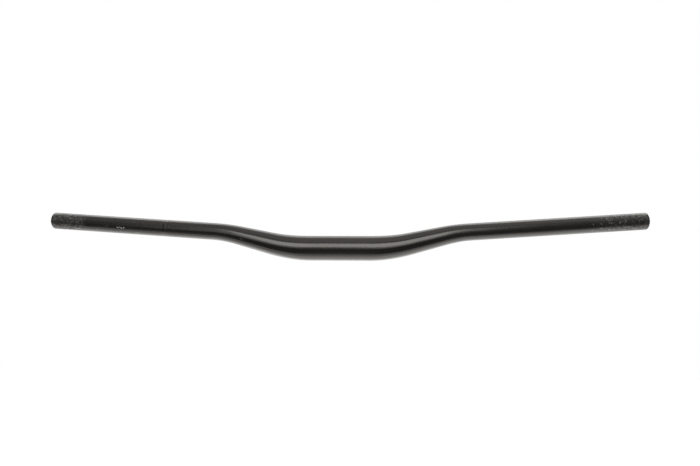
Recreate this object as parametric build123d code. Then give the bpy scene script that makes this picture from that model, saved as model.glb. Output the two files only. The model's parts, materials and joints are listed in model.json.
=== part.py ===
from build123d import *
import math
import os

# Riser handlebar: one aluminium tube, butted and tapered, with two bends on each side of the stem clamp.
# Millimetres and degrees. The origin is on the tube's axis in the middle of the clamp: +X runs along the
# clamp, +Y points back to the rider, where the grips sweep to, and +Z points up, where they rise to.

# Bent shape of the tube's axis, the same on both sides
bar_width = 800.0  # between the centres of the two cut ends
clamp_straight = 76.0  # straight stretch in the middle, which the stem closes on
inner_bend_radius = 210.0
rise_straight = 46.0  # straight stretch between the two bends, which sets how high the grips stand
rise_slope = 13.4
rise_sweep = 5.0
outer_bend_radius = 210.0
grip_upsweep = 4.0
grip_backsweep = 8.0

# Tube: it tapers and thins from the end of the clamp's straight to the start of the grip's
clamp_diameter = 31.8
grip_diameter = 22.2
clamp_wall = 2.4
grip_wall = 2.0
taper_blend = 24.0  # length over which each end of the taper eases into the plain tube

# Cut ends
rim_round = 1.1  # rounding of the outer rim
rim_round_limit = 0.7  # most of the wall that it may take
bore_break = 0.4  # chamfer of the inner rim
bore_break_limit = 0.25  # most of the wall that it may take

# Modelling
section_spacing = 28.0  # most between the round sections that are swept through the bends
bore_overrun = 5.0  # how far the bore's solid passes the cut ends


def heading(slope, sweep):
    """Direction of a stretch on the +X side, from its slope and its sweep."""
    return Vector(1, 0, 0).rotate(Axis.Y, -slope).rotate(Axis.Z, sweep)


def tangent_length(radius, before, after):
    """Distance from a bend's corner to the two points where its arc meets the straights."""
    return radius * math.tan(math.radians(before.get_angle(after) / 2))


def axis_runs():
    """Centre line of the +X half, as five edges: clamp, inner bend, rise, outer bend and grip."""
    clamp_heading = heading(0, 0)
    rise_heading = heading(rise_slope, rise_sweep)
    grip_heading = heading(grip_upsweep, grip_backsweep)
    inner_tangent = tangent_length(inner_bend_radius, clamp_heading, rise_heading)
    outer_tangent = tangent_length(outer_bend_radius, rise_heading, grip_heading)

    middle = Vector(0, 0, 0)
    inner_corner = middle + clamp_heading * (clamp_straight / 2 + inner_tangent)
    outer_corner = inner_corner + rise_heading * (inner_tangent + rise_straight + outer_tangent)
    tip = outer_corner + grip_heading * ((bar_width / 2 - outer_corner.X) / grip_heading.X)
    radii = [inner_bend_radius, outer_bend_radius]
    return FilletPolyline(middle, inner_corner, outer_corner, tip, radius=radii).edges().sort_by(Axis.X)


def eased_length(past):
    """Length of taper run through, this far past its sharp start, when that start is eased."""
    if past <= -taper_blend / 2:
        return 0.0
    if past >= taper_blend / 2:
        return past
    return (past + taper_blend / 2) ** 2 / (2 * taper_blend)


def taper_share(run, bent_length):
    """Share of the taper done after a run along the bent stretch: 0 at its clamp end, 1 at its grip end."""
    sharp_start = taper_blend / 2
    sharp_end = bent_length - taper_blend / 2
    return (eased_length(run - sharp_start) - eased_length(run - sharp_end)) / (sharp_end - sharp_start)


def outer_radius(share):
    """Outer radius of the tube at a share of the taper."""
    return (clamp_diameter + (grip_diameter - clamp_diameter) * share) / 2


def bore_radius(share):
    """Inner radius of the tube at a share of the taper: the outer one less the wall there."""
    return outer_radius(share) - (clamp_wall + (grip_wall - clamp_wall) * share)


def round_section(path, run, radius):
    """Disc square to a path, after a run along it."""
    along = path.tangent_at(run, PositionMode.LENGTH)
    across = along.cross(Vector(0, 0, 1))
    return Plane(path.position_at(run, PositionMode.LENGTH), across, along) * Circle(radius)


def bent_rod(radius_at, overrun):
    """Solid rod along the whole bar: cylinders at the clamp and grips, tapered sweeps through the bends."""
    clamp_run, inner_bend, rise_run, outer_bend, grip_run = axis_runs()
    bent_path = Wire([inner_bend, rise_run, outer_bend])
    steps = math.ceil(bent_path.length / section_spacing)
    runs = [bent_path.length * step / steps for step in range(steps + 1)]
    shares = [taper_share(run, bent_path.length) for run in runs]
    sections = [round_section(bent_path, run, radius_at(share)) for run, share in zip(runs, shares)]

    clamp = Rot(Y=90) * Cylinder(radius_at(0), 2 * clamp_run.length)
    bend = sweep(sections, bent_path, multisection=True)
    grip = extrude(round_section(grip_run, 0, radius_at(1)), grip_run.length + overrun)
    return clamp + [bend, grip, mirror(bend, Plane.YZ), mirror(grip, Plane.YZ)]


def cut_ends(bar):
    """The two flat ring faces at the tips."""
    faces = bar.faces().sort_by(Axis.X)
    return faces[0], faces[-1]


def handlebar():
    """The whole bar: outer form less its bore, with rounded outer rims and broken inner rims."""
    bar = bent_rod(outer_radius, 0) - bent_rod(bore_radius, bore_overrun)
    outer_rims = [edge for ring in cut_ends(bar) for edge in ring.outer_wire().edges()]
    bar = fillet(outer_rims, min(rim_round, grip_wall * rim_round_limit))
    inner_rims = [edge for ring in cut_ends(bar) for wire in ring.inner_wires() for edge in wire.edges()]
    return chamfer(inner_rims, min(bore_break, grip_wall * bore_break_limit))


os.makedirs("parts", exist_ok=True)
export_step(handlebar(), "parts/handlebar.step")
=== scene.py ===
"""Riser handlebar: a butted aluminium tube, drawn straight, bent twice on each side and anodised black."""
import json
import math

import bmesh
import bpy
from mathutils import Matrix, Vector


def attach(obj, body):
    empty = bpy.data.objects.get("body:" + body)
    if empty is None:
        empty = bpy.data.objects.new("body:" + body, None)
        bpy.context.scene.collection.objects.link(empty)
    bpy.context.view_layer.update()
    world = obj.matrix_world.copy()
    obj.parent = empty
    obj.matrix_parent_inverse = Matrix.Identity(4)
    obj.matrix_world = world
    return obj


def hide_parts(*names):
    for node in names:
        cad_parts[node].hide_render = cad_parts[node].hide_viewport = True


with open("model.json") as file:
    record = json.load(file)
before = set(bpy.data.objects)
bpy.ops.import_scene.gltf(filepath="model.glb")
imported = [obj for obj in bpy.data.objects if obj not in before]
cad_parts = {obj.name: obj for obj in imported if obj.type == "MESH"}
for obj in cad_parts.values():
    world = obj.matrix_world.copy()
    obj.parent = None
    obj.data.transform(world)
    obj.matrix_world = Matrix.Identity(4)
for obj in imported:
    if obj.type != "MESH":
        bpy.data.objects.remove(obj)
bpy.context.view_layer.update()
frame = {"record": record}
MM = 0.001


def mount(name):
    """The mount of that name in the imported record."""
    return next(entry for entry in frame["record"]["mounts"] if entry["name"] == name)


def mount_size(name, dimension):
    """A dimension of a mount, in metres."""
    return mount(name)["dims"][dimension] * MM


# Sizes of the tube, in metres and radians. Runs are lengths along its axis, from the middle of the clamp.
clamp_radius = mount_size("stem_clamp", "r_mm")
clamp_straight = mount_size("stem_clamp", "length_mm")
grip_radius = mount_size("grip_seat_left", "r_mm")
grip_bore_radius = mount_size("end_bore_left", "r_mm")
clamp_wall = 2.4 * MM
bend_radius = 210 * MM
rise_straight = 46 * MM
rise_slope = math.radians(13.4)
rise_sweep = math.radians(5.0)
taper_blend = 24 * MM  # length over which each end of the taper eases into the plain tube
rim_round = 1.1 * MM
bore_break = 0.4 * MM
grip_straight = mount_size("grip_seat_left", "length_mm") + rim_round

clamp_heading = Vector((1, 0, 0))
rise_turn = Matrix.Rotation(rise_sweep, 3, "Z") @ Matrix.Rotation(-rise_slope, 3, "Y")
rise_heading = rise_turn @ clamp_heading
grip_heading = Vector(mount("grip_seat_left")["axis"])
inner_turn = clamp_heading.angle(rise_heading)
outer_turn = rise_heading.angle(grip_heading)

inner_bend_start = clamp_straight / 2
inner_bend_end = inner_bend_start + bend_radius * inner_turn
outer_bend_start = inner_bend_end + rise_straight
outer_bend_end = outer_bend_start + bend_radius * outer_turn
tip_run = outer_bend_end + grip_straight

# Worn rims of the cut ends
low_rim_wear = 1.3 * MM  # how far the lowest part of a rim is pushed in
high_rim_wear = 0.6 * MM  # how far the highest part is
rim_wear_half_angle = math.radians(8)  # width of those parts, to each side
rim_wear_spread = 14 * MM  # distance over which the push eases off

# Fineness of the mesh
ring_sides = 96
clamp_spacing = 10 * MM
bend_spacing = 2 * MM
rise_spacing = 4 * MM
grip_spacing = 12 * MM
rim_steps = 6
ring_tolerance = 0.01 * MM  # slack where rings are picked by their run
smoothed_angle = math.radians(30)  # sharper edges stay sharp


def eased_length(past):
    """Length of taper run through, this far past its sharp start, when that start is eased."""
    if past <= -taper_blend / 2:
        return 0.0
    if past >= taper_blend / 2:
        return past
    return (past + taper_blend / 2) ** 2 / (2 * taper_blend)


def taper_share(run):
    """Share of the taper done at a run: 0 up to the inner bend, 1 from the end of the outer one."""
    sharp_start = inner_bend_start + taper_blend / 2
    sharp_end = outer_bend_end - taper_blend / 2
    return (eased_length(run - sharp_start) - eased_length(run - sharp_end)) / (sharp_end - sharp_start)


def outer_radius(run):
    """Outer radius of the tube at a run."""
    return clamp_radius + (grip_radius - clamp_radius) * taper_share(run)


def bore_radius(run):
    """Inner radius of the tube at a run."""
    clamp_bore_radius = clamp_radius - clamp_wall
    return clamp_bore_radius + (grip_bore_radius - clamp_bore_radius) * taper_share(run)


def stops(start, end, spacing):
    """Evenly spaced runs from just past a start to an end."""
    steps = math.ceil((end - start) / spacing)
    return [start + (end - start) * step / steps for step in range(1, steps + 1)]


def tube_profile():
    """Runs and radii of the half tube's rings: along the outside, round the rim and back along the bore."""
    runs = [0.0]
    runs += stops(0, inner_bend_start, clamp_spacing)
    runs += stops(inner_bend_start, inner_bend_end, bend_spacing)
    runs += stops(inner_bend_end, outer_bend_start, rise_spacing)
    runs += stops(outer_bend_start, outer_bend_end, bend_spacing)
    runs += stops(outer_bend_end, tip_run - rim_round, grip_spacing)
    rings = [(run, outer_radius(run)) for run in runs]
    for step in range(1, rim_steps + 1):
        angle = math.pi / 2 * step / rim_steps
        rim_run = tip_run - rim_round * (1 - math.sin(angle))
        rings.append((rim_run, grip_radius - rim_round * (1 - math.cos(angle))))
    rings.append((tip_run, grip_bore_radius + bore_break))
    rings.append((tip_run - bore_break, grip_bore_radius))
    rings += [(run, bore_radius(run)) for run in reversed(runs[:-1])]
    return rings


def draw_straight_tube(rings):
    """Half of the tube before it is bent, along X: one ring, extruded and scaled from run to run."""
    bpy.ops.object.select_all(action="DESELECT")
    bpy.ops.mesh.primitive_circle_add(vertices=ring_sides, radius=rings[0][1], rotation=(0, math.pi / 2, 0))
    tube = bpy.context.object
    tube.name = "handlebar_tube"
    bpy.ops.object.transform_apply(rotation=True)
    bpy.ops.object.mode_set(mode="EDIT")
    bpy.ops.mesh.select_mode(type="VERT")
    bpy.ops.mesh.select_all(action="SELECT")
    for (run, radius), (next_run, next_radius) in zip(rings, rings[1:]):
        bpy.ops.mesh.extrude_region_move(TRANSFORM_OT_translate={"value": (next_run - run, 0, 0)})
        scale = next_radius / radius
        bpy.ops.transform.resize(value=(1, scale, scale), center_override=(next_run, 0, 0))
    bpy.ops.object.mode_set(mode="OBJECT")
    return tube


def note_straight_places(tube):
    """Keep each point's place on the straight tube, for the bends and for the finish that follows them."""
    place = tube.data.attributes.new("straight", "FLOAT_VECTOR", "POINT")
    for vertex, noted in zip(tube.data.vertices, place.data):
        noted.vector = vertex.co


def select_where(tube, chosen):
    """Select, in edit mode, what a test chooses by its run on the straight tube and its present place."""
    mesh = bmesh.from_edit_mesh(tube.data)
    straight = mesh.verts.layers.float_vector["straight"]
    for vertex in mesh.verts:
        vertex.select_set(chosen(vertex[straight].x, vertex.co))
    mesh.select_flush_mode()
    bmesh.update_edit_mesh(tube.data)


def wear_rim(tube, up, depth):
    """Push in the upper side (up 1) or the lower side (up -1) of the rim, easing off round the end."""
    def worn(run, place):
        on_rim = run > tip_run - rim_round - ring_tolerance
        return on_rim and up * place.z / place.yz.length > math.cos(rim_wear_half_angle)

    bpy.ops.object.mode_set(mode="EDIT")
    select_where(tube, worn)
    bpy.ops.transform.translate(value=(-depth, 0, 0), use_proportional_edit=True,
                                proportional_edit_falloff="SMOOTH", proportional_size=rim_wear_spread)
    bpy.ops.object.mode_set(mode="OBJECT")


def select_beyond(tube, start):
    """Select, in edit mode, all that lies past a run on the straight tube."""
    select_where(tube, lambda run, place: run > start)


def turn_selected(angle, axis, centre):
    """Turn what is selected about a world axis, by the right hand."""
    # With no window the operator turns the other way, so it gets the angle's negative.
    bpy.ops.transform.rotate(value=-angle, orient_axis=axis, orient_type="GLOBAL", center_override=centre)


def bend_tube(tube, start, turn, direction):
    """Bend what lies past a start by a turn, towards a direction square to X, from the far ring inwards.

    The tube is clocked first, so that the bend goes up. A ring turns by half a step and what lies past it
    by a whole one, which keeps the ring square to the axis.
    """
    clock = math.atan2(direction.y, direction.z)
    bpy.ops.mesh.select_all(action="SELECT")
    turn_selected(clock, "X", (0, 0, 0))
    end = start + bend_radius * turn
    rings = [start] + stops(start, end, bend_spacing)
    half_step = turn / (len(rings) - 1) / 2
    for run in reversed(rings):
        if run > start:
            select_beyond(tube, run - ring_tolerance)
            turn_selected(-half_step, "Y", (run, 0, 0))
        if run < end:
            select_beyond(tube, run + ring_tolerance)
            turn_selected(-half_step, "Y", (run, 0, 0))
    bpy.ops.mesh.select_all(action="SELECT")
    turn_selected(-clock, "X", (0, 0, 0))


def square_part(heading):
    """The part of a heading that is square to X."""
    return Vector((0, heading.y, heading.z))


def bend_half(tube):
    """Put the outer bend and then the inner one into the half tube."""
    bpy.ops.object.mode_set(mode="EDIT")
    inner_rotation = clamp_heading.rotation_difference(rise_heading)
    grip_before_inner = inner_rotation.inverted() @ grip_heading
    bend_tube(tube, outer_bend_start, outer_turn, square_part(grip_before_inner))
    bend_tube(tube, inner_bend_start, inner_turn, square_part(rise_heading))
    bpy.ops.object.mode_set(mode="OBJECT")


def settle_face_order(tube):
    """Sort the faces, in edit mode, by their points: extruding leaves them in another order on each run."""
    mesh = bmesh.from_edit_mesh(tube.data)
    mesh.verts.index_update()

    def rank(face):
        points = [vertex.index for vertex in face.verts]
        return min(points) * len(mesh.verts) + max(points)

    mesh.faces.sort(key=rank)
    bmesh.update_edit_mesh(tube.data)


def mirror_half(tube):
    """Make the other half, with negative runs, close the seam, turn all faces outwards and smooth them."""
    bpy.ops.object.modifier_add(type="MIRROR")
    tube.modifiers["Mirror"].merge_threshold = ring_tolerance
    bpy.ops.object.modifier_apply(modifier="Mirror")
    for vertex, noted in zip(tube.data.vertices, tube.data.attributes["straight"].data):
        if vertex.co.x < 0:
            noted.vector.x = -noted.vector.x
    bpy.ops.object.mode_set(mode="EDIT")
    bpy.ops.mesh.select_all(action="SELECT")
    bpy.ops.mesh.normals_make_consistent(inside=False)
    settle_face_order(tube)
    bpy.ops.object.mode_set(mode="OBJECT")
    bpy.ops.object.shade_smooth_by_angle(angle=smoothed_angle)


def make_handlebar():
    """The whole bar, with its finish, in the CAD tube's place."""
    tube = draw_straight_tube(tube_profile())
    note_straight_places(tube)
    wear_rim(tube, -1, low_rim_wear)
    wear_rim(tube, 1, high_rim_wear)
    bend_half(tube)
    mirror_half(tube)
    tube.data.materials.append(black_anodise())
    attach(tube, "root")
    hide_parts("handlebar")


class Finish:
    """A node material in the making, with a short call for each kind of node it needs."""

    def __init__(self, name):
        self.material = bpy.data.materials.new(name)
        self.material.use_nodes = True
        self.tree = self.material.node_tree
        self.shader = self.tree.nodes["Principled BSDF"]
        self.surface = self.tree.nodes["Material Output"].inputs["Surface"]

    def feed(self, socket, value):
        """Give a socket a value or another node's output."""
        if isinstance(value, bpy.types.NodeSocket):
            self.tree.links.new(value, socket)
        else:
            socket.default_value = value

    def add(self, kind, inputs, **settings):
        """Add a node: its settings, and its inputs as values or as other nodes' outputs."""
        node = self.tree.nodes.new(kind)
        for name, value in settings.items():
            setattr(node, name, value)
        for name, value in inputs.items():
            self.feed(node.inputs[name], value)
        return node

    def number(self, operation, first, second=0.0):
        """Arithmetic on two numbers."""
        return self.add("ShaderNodeMath", {0: first, 1: second}, operation=operation).outputs["Value"]

    def add_share(self, value, share, mask):
        """A value with a share of a mask added."""
        return self.number("ADD", value, self.number("MULTIPLY", mask, share))

    def length(self, vector):
        """Length of a vector."""
        return self.add("ShaderNodeVectorMath", {0: vector}, operation="LENGTH").outputs["Value"]

    def fade(self, value, start, end, full=1.0):
        """Smooth step from 0 at a start to a full value at an end."""
        inputs = {"Value": value, "From Min": start, "From Max": end, "To Min": 0.0, "To Max": full}
        return self.add("ShaderNodeMapRange", inputs, interpolation_type="SMOOTHSTEP").outputs["Result"]

    def noise(self, vector, waves, detail=2.0):
        """Noise from 0 to 1 with so many waves to the metre."""
        inputs = {"Vector": vector, "Scale": waves, "Detail": detail}
        return self.add("ShaderNodeTexNoise", inputs).outputs["Fac"]

    def combine(self, x, y, z):
        """Vector of three numbers."""
        return self.add("ShaderNodeCombineXYZ", {"X": x, "Y": y, "Z": z}).outputs["Vector"]

    def blend(self, share, first, second):
        """Colour between two colours."""
        node = self.add("ShaderNodeMix", {"Factor": share}, data_type="RGBA")
        self.feed(node.inputs["A"], first)
        self.feed(node.inputs["B"], second)
        return node.outputs["Result"]


# Nicks and scratches that show in the photograph. Each has its run and its angle above the tube's front,
# its length and width, its slant up from the tube's length, and its strength. Millimetres and degrees.
NICKS = (
    # Zigzag scratch on the left grip
    (-305.3, -21, 4.6, 2.0, -31, 0.75), (-302.4, -18, 3.4, 1.6, 49, 0.6),
    (-299.8, -22, 4.4, 2.2, -28, 0.85), (-296.2, -20, 5.0, 2.0, 16, 0.85),
    # Left grip
    (-336.5, -47, 5.0, 1.2, 0, 0.15), (-321.0, -16, 7.5, 2.2, 21, 0.15), (-315.5, -54, 1.8, 1.2, 0, 0.3),
    (-302.0, -51, 1.6, 1.2, 0, 0.3), (-283.8, 25, 4.8, 0.8, 107, 0.12),
    (-280.4, 27, 4.8, 0.8, 107, 0.12), (-279.0, 52, 1.8, 1.4, 0, 0.35), (-279.0, -59, 1.8, 1.4, 0, 0.4),
    (-275.0, -52, 1.6, 1.4, 0, 0.4), (-235.5, 53, 2.0, 1.4, 0, 0.35), (-230.7, 10, 2.4, 1.0, 10, 0.15),
    # Left bend
    (-128.6, -17, 4.6, 1.8, -22, 0.3),
    # Left end
    (-392.1, 29, 3.0, 2.0, 0, 0.25), (-377.5, 30, 2.6, 1.6, 0, 0.14), (-373.4, -2, 3.6, 1.6, -10, 0.2),
    (-372.8, 37, 2.8, 1.6, 0, 0.14), (-367.5, 17, 5.0, 1.4, 30, 0.1), (-358.4, 4, 2.2, 1.4, 60, 0.12),
    # Right end
    (328.9, -46, 1.6, 1.6, 0, 0.25), (329.7, -4, 3.0, 1.4, 80, 0.4), (340.5, -34, 2.4, 1.8, 0, 0.4),
    (340.6, -4, 4.0, 1.7, -36, 0.4), (342.8, 40, 2.6, 1.6, 40, 0.35), (343.2, -35, 1.6, 1.2, 0, 0.35),
    (348.4, 33, 2.6, 2.2, 0, 0.4), (350.4, 18, 2.0, 1.7, 0, 0.3), (351.2, 1, 3.6, 1.4, 80, 0.35),
    (352.0, -49, 2.4, 1.4, 0, 0.3), (352.7, 16, 2.0, 1.5, 0, 0.25), (353.6, -1, 3.2, 1.3, 80, 0.3),
    (357.0, -49, 2.0, 1.5, 0, 0.3), (364.6, -33, 2.0, 1.5, 20, 0.3), (365.5, -1, 5.2, 1.5, 57, 0.4),
    (368.7, -34, 2.4, 1.2, -20, 0.28), (372.5, -2, 6.0, 1.3, 36, 0.3), (373.4, 7, 4.6, 1.3, -53, 0.25),
    (373.4, 28, 3.2, 1.4, 85, 0.2), (376.5, 46, 2.6, 2.0, 0, 0.22), (385.8, 46, 2.2, 1.6, 0, 0.2),
    (390.9, 4, 3.4, 1.4, 85, 0.25), (392.3, 35, 2.2, 1.9, 0, 0.3), (394.0, 10, 1.6, 1.2, 30, 0.18),
    (397.3, -31, 2.2, 1.4, 20, 0.28),
)
nick_faded = 1.15  # share of its half size at which a nick has faded out
nick_full = 0.35  # and at which it has its full strength

# Scuffed ends, by their runs
left_scuff_run = -355 * MM
left_scuff_fade = 2 * MM  # to each side of that run
left_scuff_strength = 1.15
right_scuff_start = 318 * MM
right_scuff_full = 372 * MM
right_scuff_strength = 0.75
scuff_ragged = 12 * MM  # width of the band that the ragged edge swings through

# Specks and pits of the scuffed ends: the noise levels where they start and are full, and their shares
speck_start = 0.52
speck_full = 0.62
speck_share = 0.5
pit_start = 0.47
pit_full = 0.36
pit_share = 0.45
scuff_rub_share = 0.03

# Mark of a lever's clamp: a line pressed into the front, in a rubbed band that goes right round
lever_mark_run = -239.2 * MM
lever_line_faded = 1.4 * MM
lever_line_full = 0.5 * MM
lever_line_share = 0.8
lever_line_faded_angle = math.radians(36)
lever_line_full_angle = math.radians(22)
lever_rub_faded = 5.0 * MM
lever_rub_full = 3.0 * MM
lever_rub_share = 0.10

# Cut ends: a rubbed ring and a darker band on the outside of the rim, by their distance from the tip
end_rub_start = 8.0 * MM
end_rub_full = 4.5 * MM
end_rub_share = 0.2
rim_darkening_start = 2.6 * MM
rim_darkening_full = 1.6 * MM
rim_darkening_share = 0.7
rim_darkening_faded_depth = 0.5 * rim_round  # how far in from the outside the darkening has faded out
rim_darkening_full_depth = 0.15 * rim_round  # and how far in it is full

# Colours of the finish
DEEP_BLACK = (0.0668, 0.064, 0.0602, 1)
HAZED_BLACK = (0.0804, 0.077, 0.0724, 1)
RUBBED = (0.20, 0.20, 0.195, 1)
SPECKED = (0.24, 0.24, 0.235, 1)
PITTED = (0.036, 0.035, 0.034, 1)
# Dark tone laid over the outside of the rim at each tip
RIM_DARKENING = (0.012, 0.012, 0.012, 1)
PRESSED_LINE = (0.02, 0.02, 0.02, 1)
BARE_METAL = (0.62, 0.62, 0.61, 1)

# Patterns of the finish, in waves to the metre
drawn_waves = 900
drawn_stretch = 0.02  # the drawn pattern has this share of its waves along the tube
haze_waves = 45
haze_detail = 3
speck_waves = 380
speck_detail = 5
ragged_waves = 160
grain_waves = 2600
noise_middle = 0.5

# Roughness of the polished tube, and what its stretches, patterns and wear add to it
polished_roughness = 0.14
grip_roughness = 0.08
grip_rough_start = 100 * MM
grip_rough_full = 190 * MM
clamp_roughness = 0.05
clamp_rough_start = 60 * MM
clamp_rough_full = 25 * MM
drawn_roughness = 0.03
haze_roughness = 0.04
scuff_roughness = 0.13
nick_roughness = 0.35

# Relief of the specks, and of the fine grain as a share of theirs
relief_strength = 0.25
relief_height = 0.08 * MM
grain_share = 0.15


def nicked(finish, run, angle):
    """Mask of the nicks: each one is a lens on the tube's unrolled surface."""
    flat = finish.combine(run, finish.number("MULTIPLY", angle, grip_radius), 0.0)
    mask = 0.0
    for nick_run, nick_angle, length, width, slant, strength in NICKS:
        own = finish.add("ShaderNodeMapping", {
            "Vector": flat,
            "Location": (nick_run * MM, math.radians(nick_angle) * grip_radius, 0),
            "Rotation": (0, 0, math.radians(slant)),
            "Scale": (length * MM / 2, width * MM / 2, 1),
        }, vector_type="TEXTURE")
        reach = finish.length(own.outputs["Vector"])
        mask = finish.number("MAXIMUM", mask, finish.fade(reach, nick_faded, nick_full, strength))
    return mask


def scuffed(finish, place, run):
    """Mask of the two scuffed ends, with a ragged edge."""
    swing = finish.number("SUBTRACT", finish.noise(place, ragged_waves), noise_middle)
    ragged_run = finish.add_share(run, scuff_ragged, swing)
    left_start = left_scuff_run + left_scuff_fade
    left_full = left_scuff_run - left_scuff_fade
    left = finish.fade(ragged_run, left_start, left_full, left_scuff_strength)
    right = finish.fade(ragged_run, right_scuff_start, right_scuff_full, right_scuff_strength)
    return finish.number("MAXIMUM", left, right)


def lever_marked(finish, run, angle):
    """Masks of the lever's line and of the rubbed band round it."""
    from_line = finish.number("ABSOLUTE", finish.number("SUBTRACT", run, lever_mark_run))
    from_front = finish.number("ABSOLUTE", angle)
    at_front = finish.fade(from_front, lever_line_faded_angle, lever_line_full_angle)
    line = finish.fade(from_line, lever_line_faded, lever_line_full, lever_line_share)
    rub = finish.fade(from_line, lever_rub_faded, lever_rub_full, lever_rub_share)
    return finish.number("MULTIPLY", line, at_front), rub


def end_marked(finish, from_middle, from_axis):
    """Masks of the rubbed ring at each end and of the darker band on the outside of the rim."""
    rub = finish.fade(from_middle, tip_run - end_rub_start, tip_run - end_rub_full, end_rub_share)
    at_rim = finish.fade(from_middle, tip_run - rim_darkening_start, tip_run - rim_darkening_full, rim_darkening_share)
    on_outside = finish.fade(from_axis, grip_radius - rim_darkening_faded_depth, grip_radius - rim_darkening_full_depth)
    return rub, finish.number("MULTIPLY", at_rim, on_outside)


def black_anodise():
    """Satin black anodising, drawn along the tube, with scuffed ends, nicks and a lever's mark."""
    finish = Finish("black_anodise")
    place = finish.add("ShaderNodeAttribute", {}, attribute_name="straight").outputs["Vector"]
    parts = finish.add("ShaderNodeSeparateXYZ", {"Vector": place})
    run, back, up = parts.outputs["X"], parts.outputs["Y"], parts.outputs["Z"]
    from_middle = finish.number("ABSOLUTE", run)
    from_axis = finish.length(finish.combine(0.0, back, up))
    angle = finish.number("ARCTAN2", up, finish.number("MULTIPLY", back, -1.0))

    along = (drawn_stretch, 1, 1)
    drawn_place = finish.add("ShaderNodeVectorMath", {0: place, 1: along}, operation="MULTIPLY")
    drawn = finish.noise(drawn_place.outputs["Vector"], drawn_waves)
    haze = finish.noise(place, haze_waves, haze_detail)
    speck_noise = finish.noise(place, speck_waves, speck_detail)

    scuff = scuffed(finish, place, run)
    specks = finish.number("MULTIPLY", scuff, finish.fade(speck_noise, speck_start, speck_full))
    pits = finish.number("MULTIPLY", scuff, finish.fade(speck_noise, pit_start, pit_full, pit_share))
    lever_line, lever_rub = lever_marked(finish, run, angle)
    end_rub, darkened_rim = end_marked(finish, from_middle, from_axis)
    nicks = nicked(finish, run, angle)

    scuff_rub = finish.number("MULTIPLY", scuff, scuff_rub_share)
    layers = (
        (finish.number("MAXIMUM", lever_rub, scuff_rub), RUBBED),
        (finish.number("MULTIPLY", specks, speck_share), SPECKED),
        (pits, PITTED),
        (end_rub, RUBBED),
        # darkens the outside of the rim at each tip
        (darkened_rim, RIM_DARKENING),
        (lever_line, PRESSED_LINE),
        (nicks, BARE_METAL),
    )
    tone = finish.blend(haze, DEEP_BLACK, HAZED_BLACK)
    for mask, colour in layers:
        tone = finish.blend(mask, tone, colour)
    finish.feed(finish.shader.inputs["Base Color"], tone)
    finish.feed(finish.shader.inputs["Metallic"], 1.0)

    on_grip = finish.fade(from_middle, grip_rough_start, grip_rough_full, grip_roughness)
    on_clamp = finish.fade(from_middle, clamp_rough_start, clamp_rough_full, clamp_roughness)
    rough = finish.number("ADD", finish.number("ADD", polished_roughness, on_grip), on_clamp)
    rough = finish.add_share(rough, drawn_roughness, drawn)
    rough = finish.add_share(rough, haze_roughness, haze)
    rough = finish.add_share(rough, scuff_roughness, scuff)
    rough = finish.add_share(rough, nick_roughness, nicks)
    finish.feed(finish.shader.inputs["Roughness"], rough)

    height = finish.add_share(specks, grain_share, finish.noise(place, grain_waves))
    relief = {"Height": height, "Strength": relief_strength, "Distance": relief_height}
    bump = finish.add("ShaderNodeBump", relief)
    finish.feed(finish.shader.inputs["Normal"], bump.outputs["Normal"])
    return finish.material


# Table: two corners of its board in metres, its colour, and the white glow that it mostly shows
TABLE_LOW = (-1.6, -0.175, -0.34)
TABLE_HIGH = (1.6, 1.6, -0.33)
TABLE_COLOUR = (0.9, 0.9, 0.9, 1)
table_glow_strength = 1.1
table_glow_share = 0.8

# Light of the white background on matt surfaces. To the camera and in reflections it is 1, which is white.
background_light = 0.6

# Boards that the bar reflects: name, two corners in metres, radiance, where 1 is white, and grades.
# A grade has an axis, the places along it where it starts and is full, and what it adds to the radiance.
GLOW_GRADE = ("Y", 0.15, 0.4, 0.43)
WALL_GRADE = ("Z", -0.2, 1.6, 0.3)
REFLECTORS = (
    ("left_table_glow", (-0.68, 0.04, -0.325), (-0.21, 0.55, -0.32), 2.3,
     (GLOW_GRADE, ("X", -0.32, -0.5, -0.45))),
    ("right_table_glow", (-0.21, -0.03, -0.325), (0.57, 0.55, -0.32), 2.08, (GLOW_GRADE,)),
    ("table_front", (-0.17, -0.5, -0.335), (0.06, -0.175, -0.33), 0.2, (("Y", -0.35, -0.2, 0.14),)),
    ("front_wall", (-3, -2.01, -6), (3, -2, 3), 0.15, (("Z", 0.3, 2.4, 0.26),)),
    ("left_wall", (-3.01, -2, -2.9), (-3, 2.2, 2.4), 0.25, (WALL_GRADE,)),
    ("right_wall", (3, -2, -2.9), (3.01, 2.2, 2.4), 0.25, (WALL_GRADE,)),
    ("rear_wall", (-3, 2.2, -1.2), (3, 2.21, 1.5), 0.25, (WALL_GRADE,)),
    ("ceiling", (-4, -1.0, 1.6), (4, 0.55, 1.61), 0.775, (("X", -0.1, -0.8, -0.205),)),
)

# Lamps: name, centre, width and height in metres, and radiance. Each faces the clamp's axis, square to it.
LAMPS = (
    ("front_softbox", (-0.085, -1.22, 0.55), (1.3, 0.8), 2.76),
    ("softbox_foot_left", (-0.525, -1.36, 0.03), (0.45, 0.34), 0.83),
    ("softbox_foot_far_left", (-0.94, -1.36, 0.12), (0.38, 0.5), 0.75),
    ("softbox_foot_right", (0.26, -1.36, 0.03), (0.64, 0.34), 0.95),
    ("rear_strip_left", (-0.825, 0.545, 1.07), (0.75, 0.34), 1.88),
    ("rear_strip_middle", (-0.125, 0.545, 1.07), (0.65, 0.34), 0.75),
    ("rear_strip_right", (0.7, 0.545, 1.07), (1.0, 0.34), 2.55),
    ("rear_softbox", (0, 0.85, 0.85), (2.6, 0.55), 1.12),
)


def seen_directly(tree):
    """Node output that is 1 for rays from the camera, from gloss and through glass, and 0 for others."""
    light_path = tree.nodes.new("ShaderNodeLightPath")
    seen = light_path.outputs["Is Camera Ray"]
    for kind in ("Is Glossy Ray", "Is Transmission Ray"):
        either = tree.nodes.new("ShaderNodeMath")
        either.operation = "MAXIMUM"
        tree.links.new(seen, either.inputs[0])
        tree.links.new(light_path.outputs[kind], either.inputs[1])
        seen = either.outputs[0]
    return seen


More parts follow.
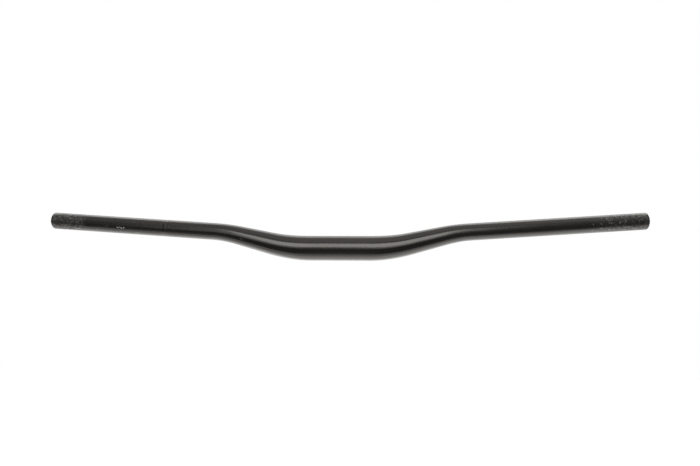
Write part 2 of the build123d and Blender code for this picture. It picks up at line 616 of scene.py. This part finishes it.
def white_world():
    """White background for the camera and for reflections, softer light for the rest."""
    world = bpy.data.worlds.new("white_studio")
    bpy.context.scene.world = world
    world.use_nodes = True
    background = world.node_tree.nodes["Background"]
    background.inputs["Color"].default_value = (1, 1, 1, 1)
    strength = world.node_tree.nodes.new("ShaderNodeMapRange")
    strength.inputs["To Min"].default_value = background_light
    strength.inputs["To Max"].default_value = 1.0
    world.node_tree.links.new(seen_directly(world.node_tree), strength.inputs["Value"])
    world.node_tree.links.new(strength.outputs["Result"], background.inputs["Strength"])


def white_table():
    """White surface that shows white and keeps a soft shadow."""
    finish = Finish("white_table")
    matt = finish.add("ShaderNodeBsdfDiffuse", {"Color": TABLE_COLOUR}).outputs["BSDF"]
    glow = finish.add("ShaderNodeEmission", {"Strength": table_glow_strength}).outputs["Emission"]
    share = finish.number("MULTIPLY", seen_directly(finish.tree), table_glow_share)
    mix = finish.add("ShaderNodeMixShader", {0: share, 1: matt, 2: glow})
    finish.feed(finish.surface, mix.outputs["Shader"])
    return finish.material


def graded_card(name, radiance, grades):
    """Self-lit card whose radiance changes along its grades."""
    finish = Finish(name)
    place = finish.add("ShaderNodeTexCoord", {}).outputs["Object"]
    parts = finish.add("ShaderNodeSeparateXYZ", {"Vector": place})
    for axis, start, full, added in grades:
        radiance = finish.number("ADD", radiance, finish.fade(parts.outputs[axis], start, full, added))
    glow = finish.add("ShaderNodeEmission", {"Strength": radiance})
    finish.feed(finish.surface, glow.outputs["Emission"])
    return finish.material


def stage_board(name, low, high, material):
    """Thin board of the stage between two corners."""
    bpy.ops.object.select_all(action="DESELECT")
    low, high = Vector(low), Vector(high)
    bpy.ops.mesh.primitive_cube_add(size=1, location=(low + high) / 2, scale=high - low)
    board = bpy.context.object
    board.name = name
    bpy.ops.object.transform_apply(location=True, rotation=True, scale=True)
    board.data.materials.append(material)
    return board


def reflector(name, low, high, radiance, grades):
    """Board that shows in the bar's reflections and nowhere else."""
    board = stage_board(name, low, high, graded_card(name, radiance, grades))
    board.visible_camera = False
    board.visible_diffuse = False
    board.visible_shadow = False


def area_light(name, centre, size, radiance):
    """A soft rectangular lamp of that radiance, facing the clamp's axis. It doesn't show to the camera."""
    to_axis = Vector((0, -centre[1], -centre[2]))
    aim = to_axis.to_track_quat("-Z", "Y").to_euler()
    bpy.ops.object.light_add(type="AREA", location=centre, rotation=aim)
    lamp = bpy.context.object
    lamp.name = name
    lamp.data.shape = "RECTANGLE"
    lamp.data.size, lamp.data.size_y = size
    lamp.data.energy = radiance * math.pi * size[0] * size[1]
    lamp.visible_camera = False


def make_studio():
    """White background and table, and the boards and lamps that the bar reflects."""
    white_world()
    stage_board("table", TABLE_LOW, TABLE_HIGH, white_table())
    for board in REFLECTORS:
        reflector(*board)
    for lamp in LAMPS:
        area_light(*lamp)


# Camera, at the photograph's place
camera_pitch = math.radians(-3.05)
camera_yaw = math.radians(-4.355)
camera_roll = math.radians(0.35)
clamp_from_camera = Vector((-12.7, 1100.0, -19.85)) * MM  # to its right, ahead of it and above it
image_width = 700  # pixels
focal_length = 848.8  # pixels
sensor_width = 36  # millimetres, the unit of Blender's lens


def make_camera():
    """Camera that sees the bar as the photograph does."""
    world_to_view = Matrix.Rotation(camera_pitch, 3, "X") @ Matrix.Rotation(camera_yaw, 3, "Z")
    view_to_world = world_to_view.transposed()
    right, ahead, up = view_to_world.col
    axes = Matrix((right, up, -ahead)).transposed()
    bpy.ops.object.camera_add(location=-(view_to_world @ clamp_from_camera))
    camera = bpy.context.object
    camera.rotation_euler = (axes @ Matrix.Rotation(camera_roll, 3, "Z")).to_euler()
    camera.data.sensor_width = sensor_width
    camera.data.lens = focal_length / image_width * sensor_width
    bpy.context.scene.camera = camera


make_handlebar()
make_studio()
make_camera()
bpy.context.scene.view_settings.view_transform = "Standard"
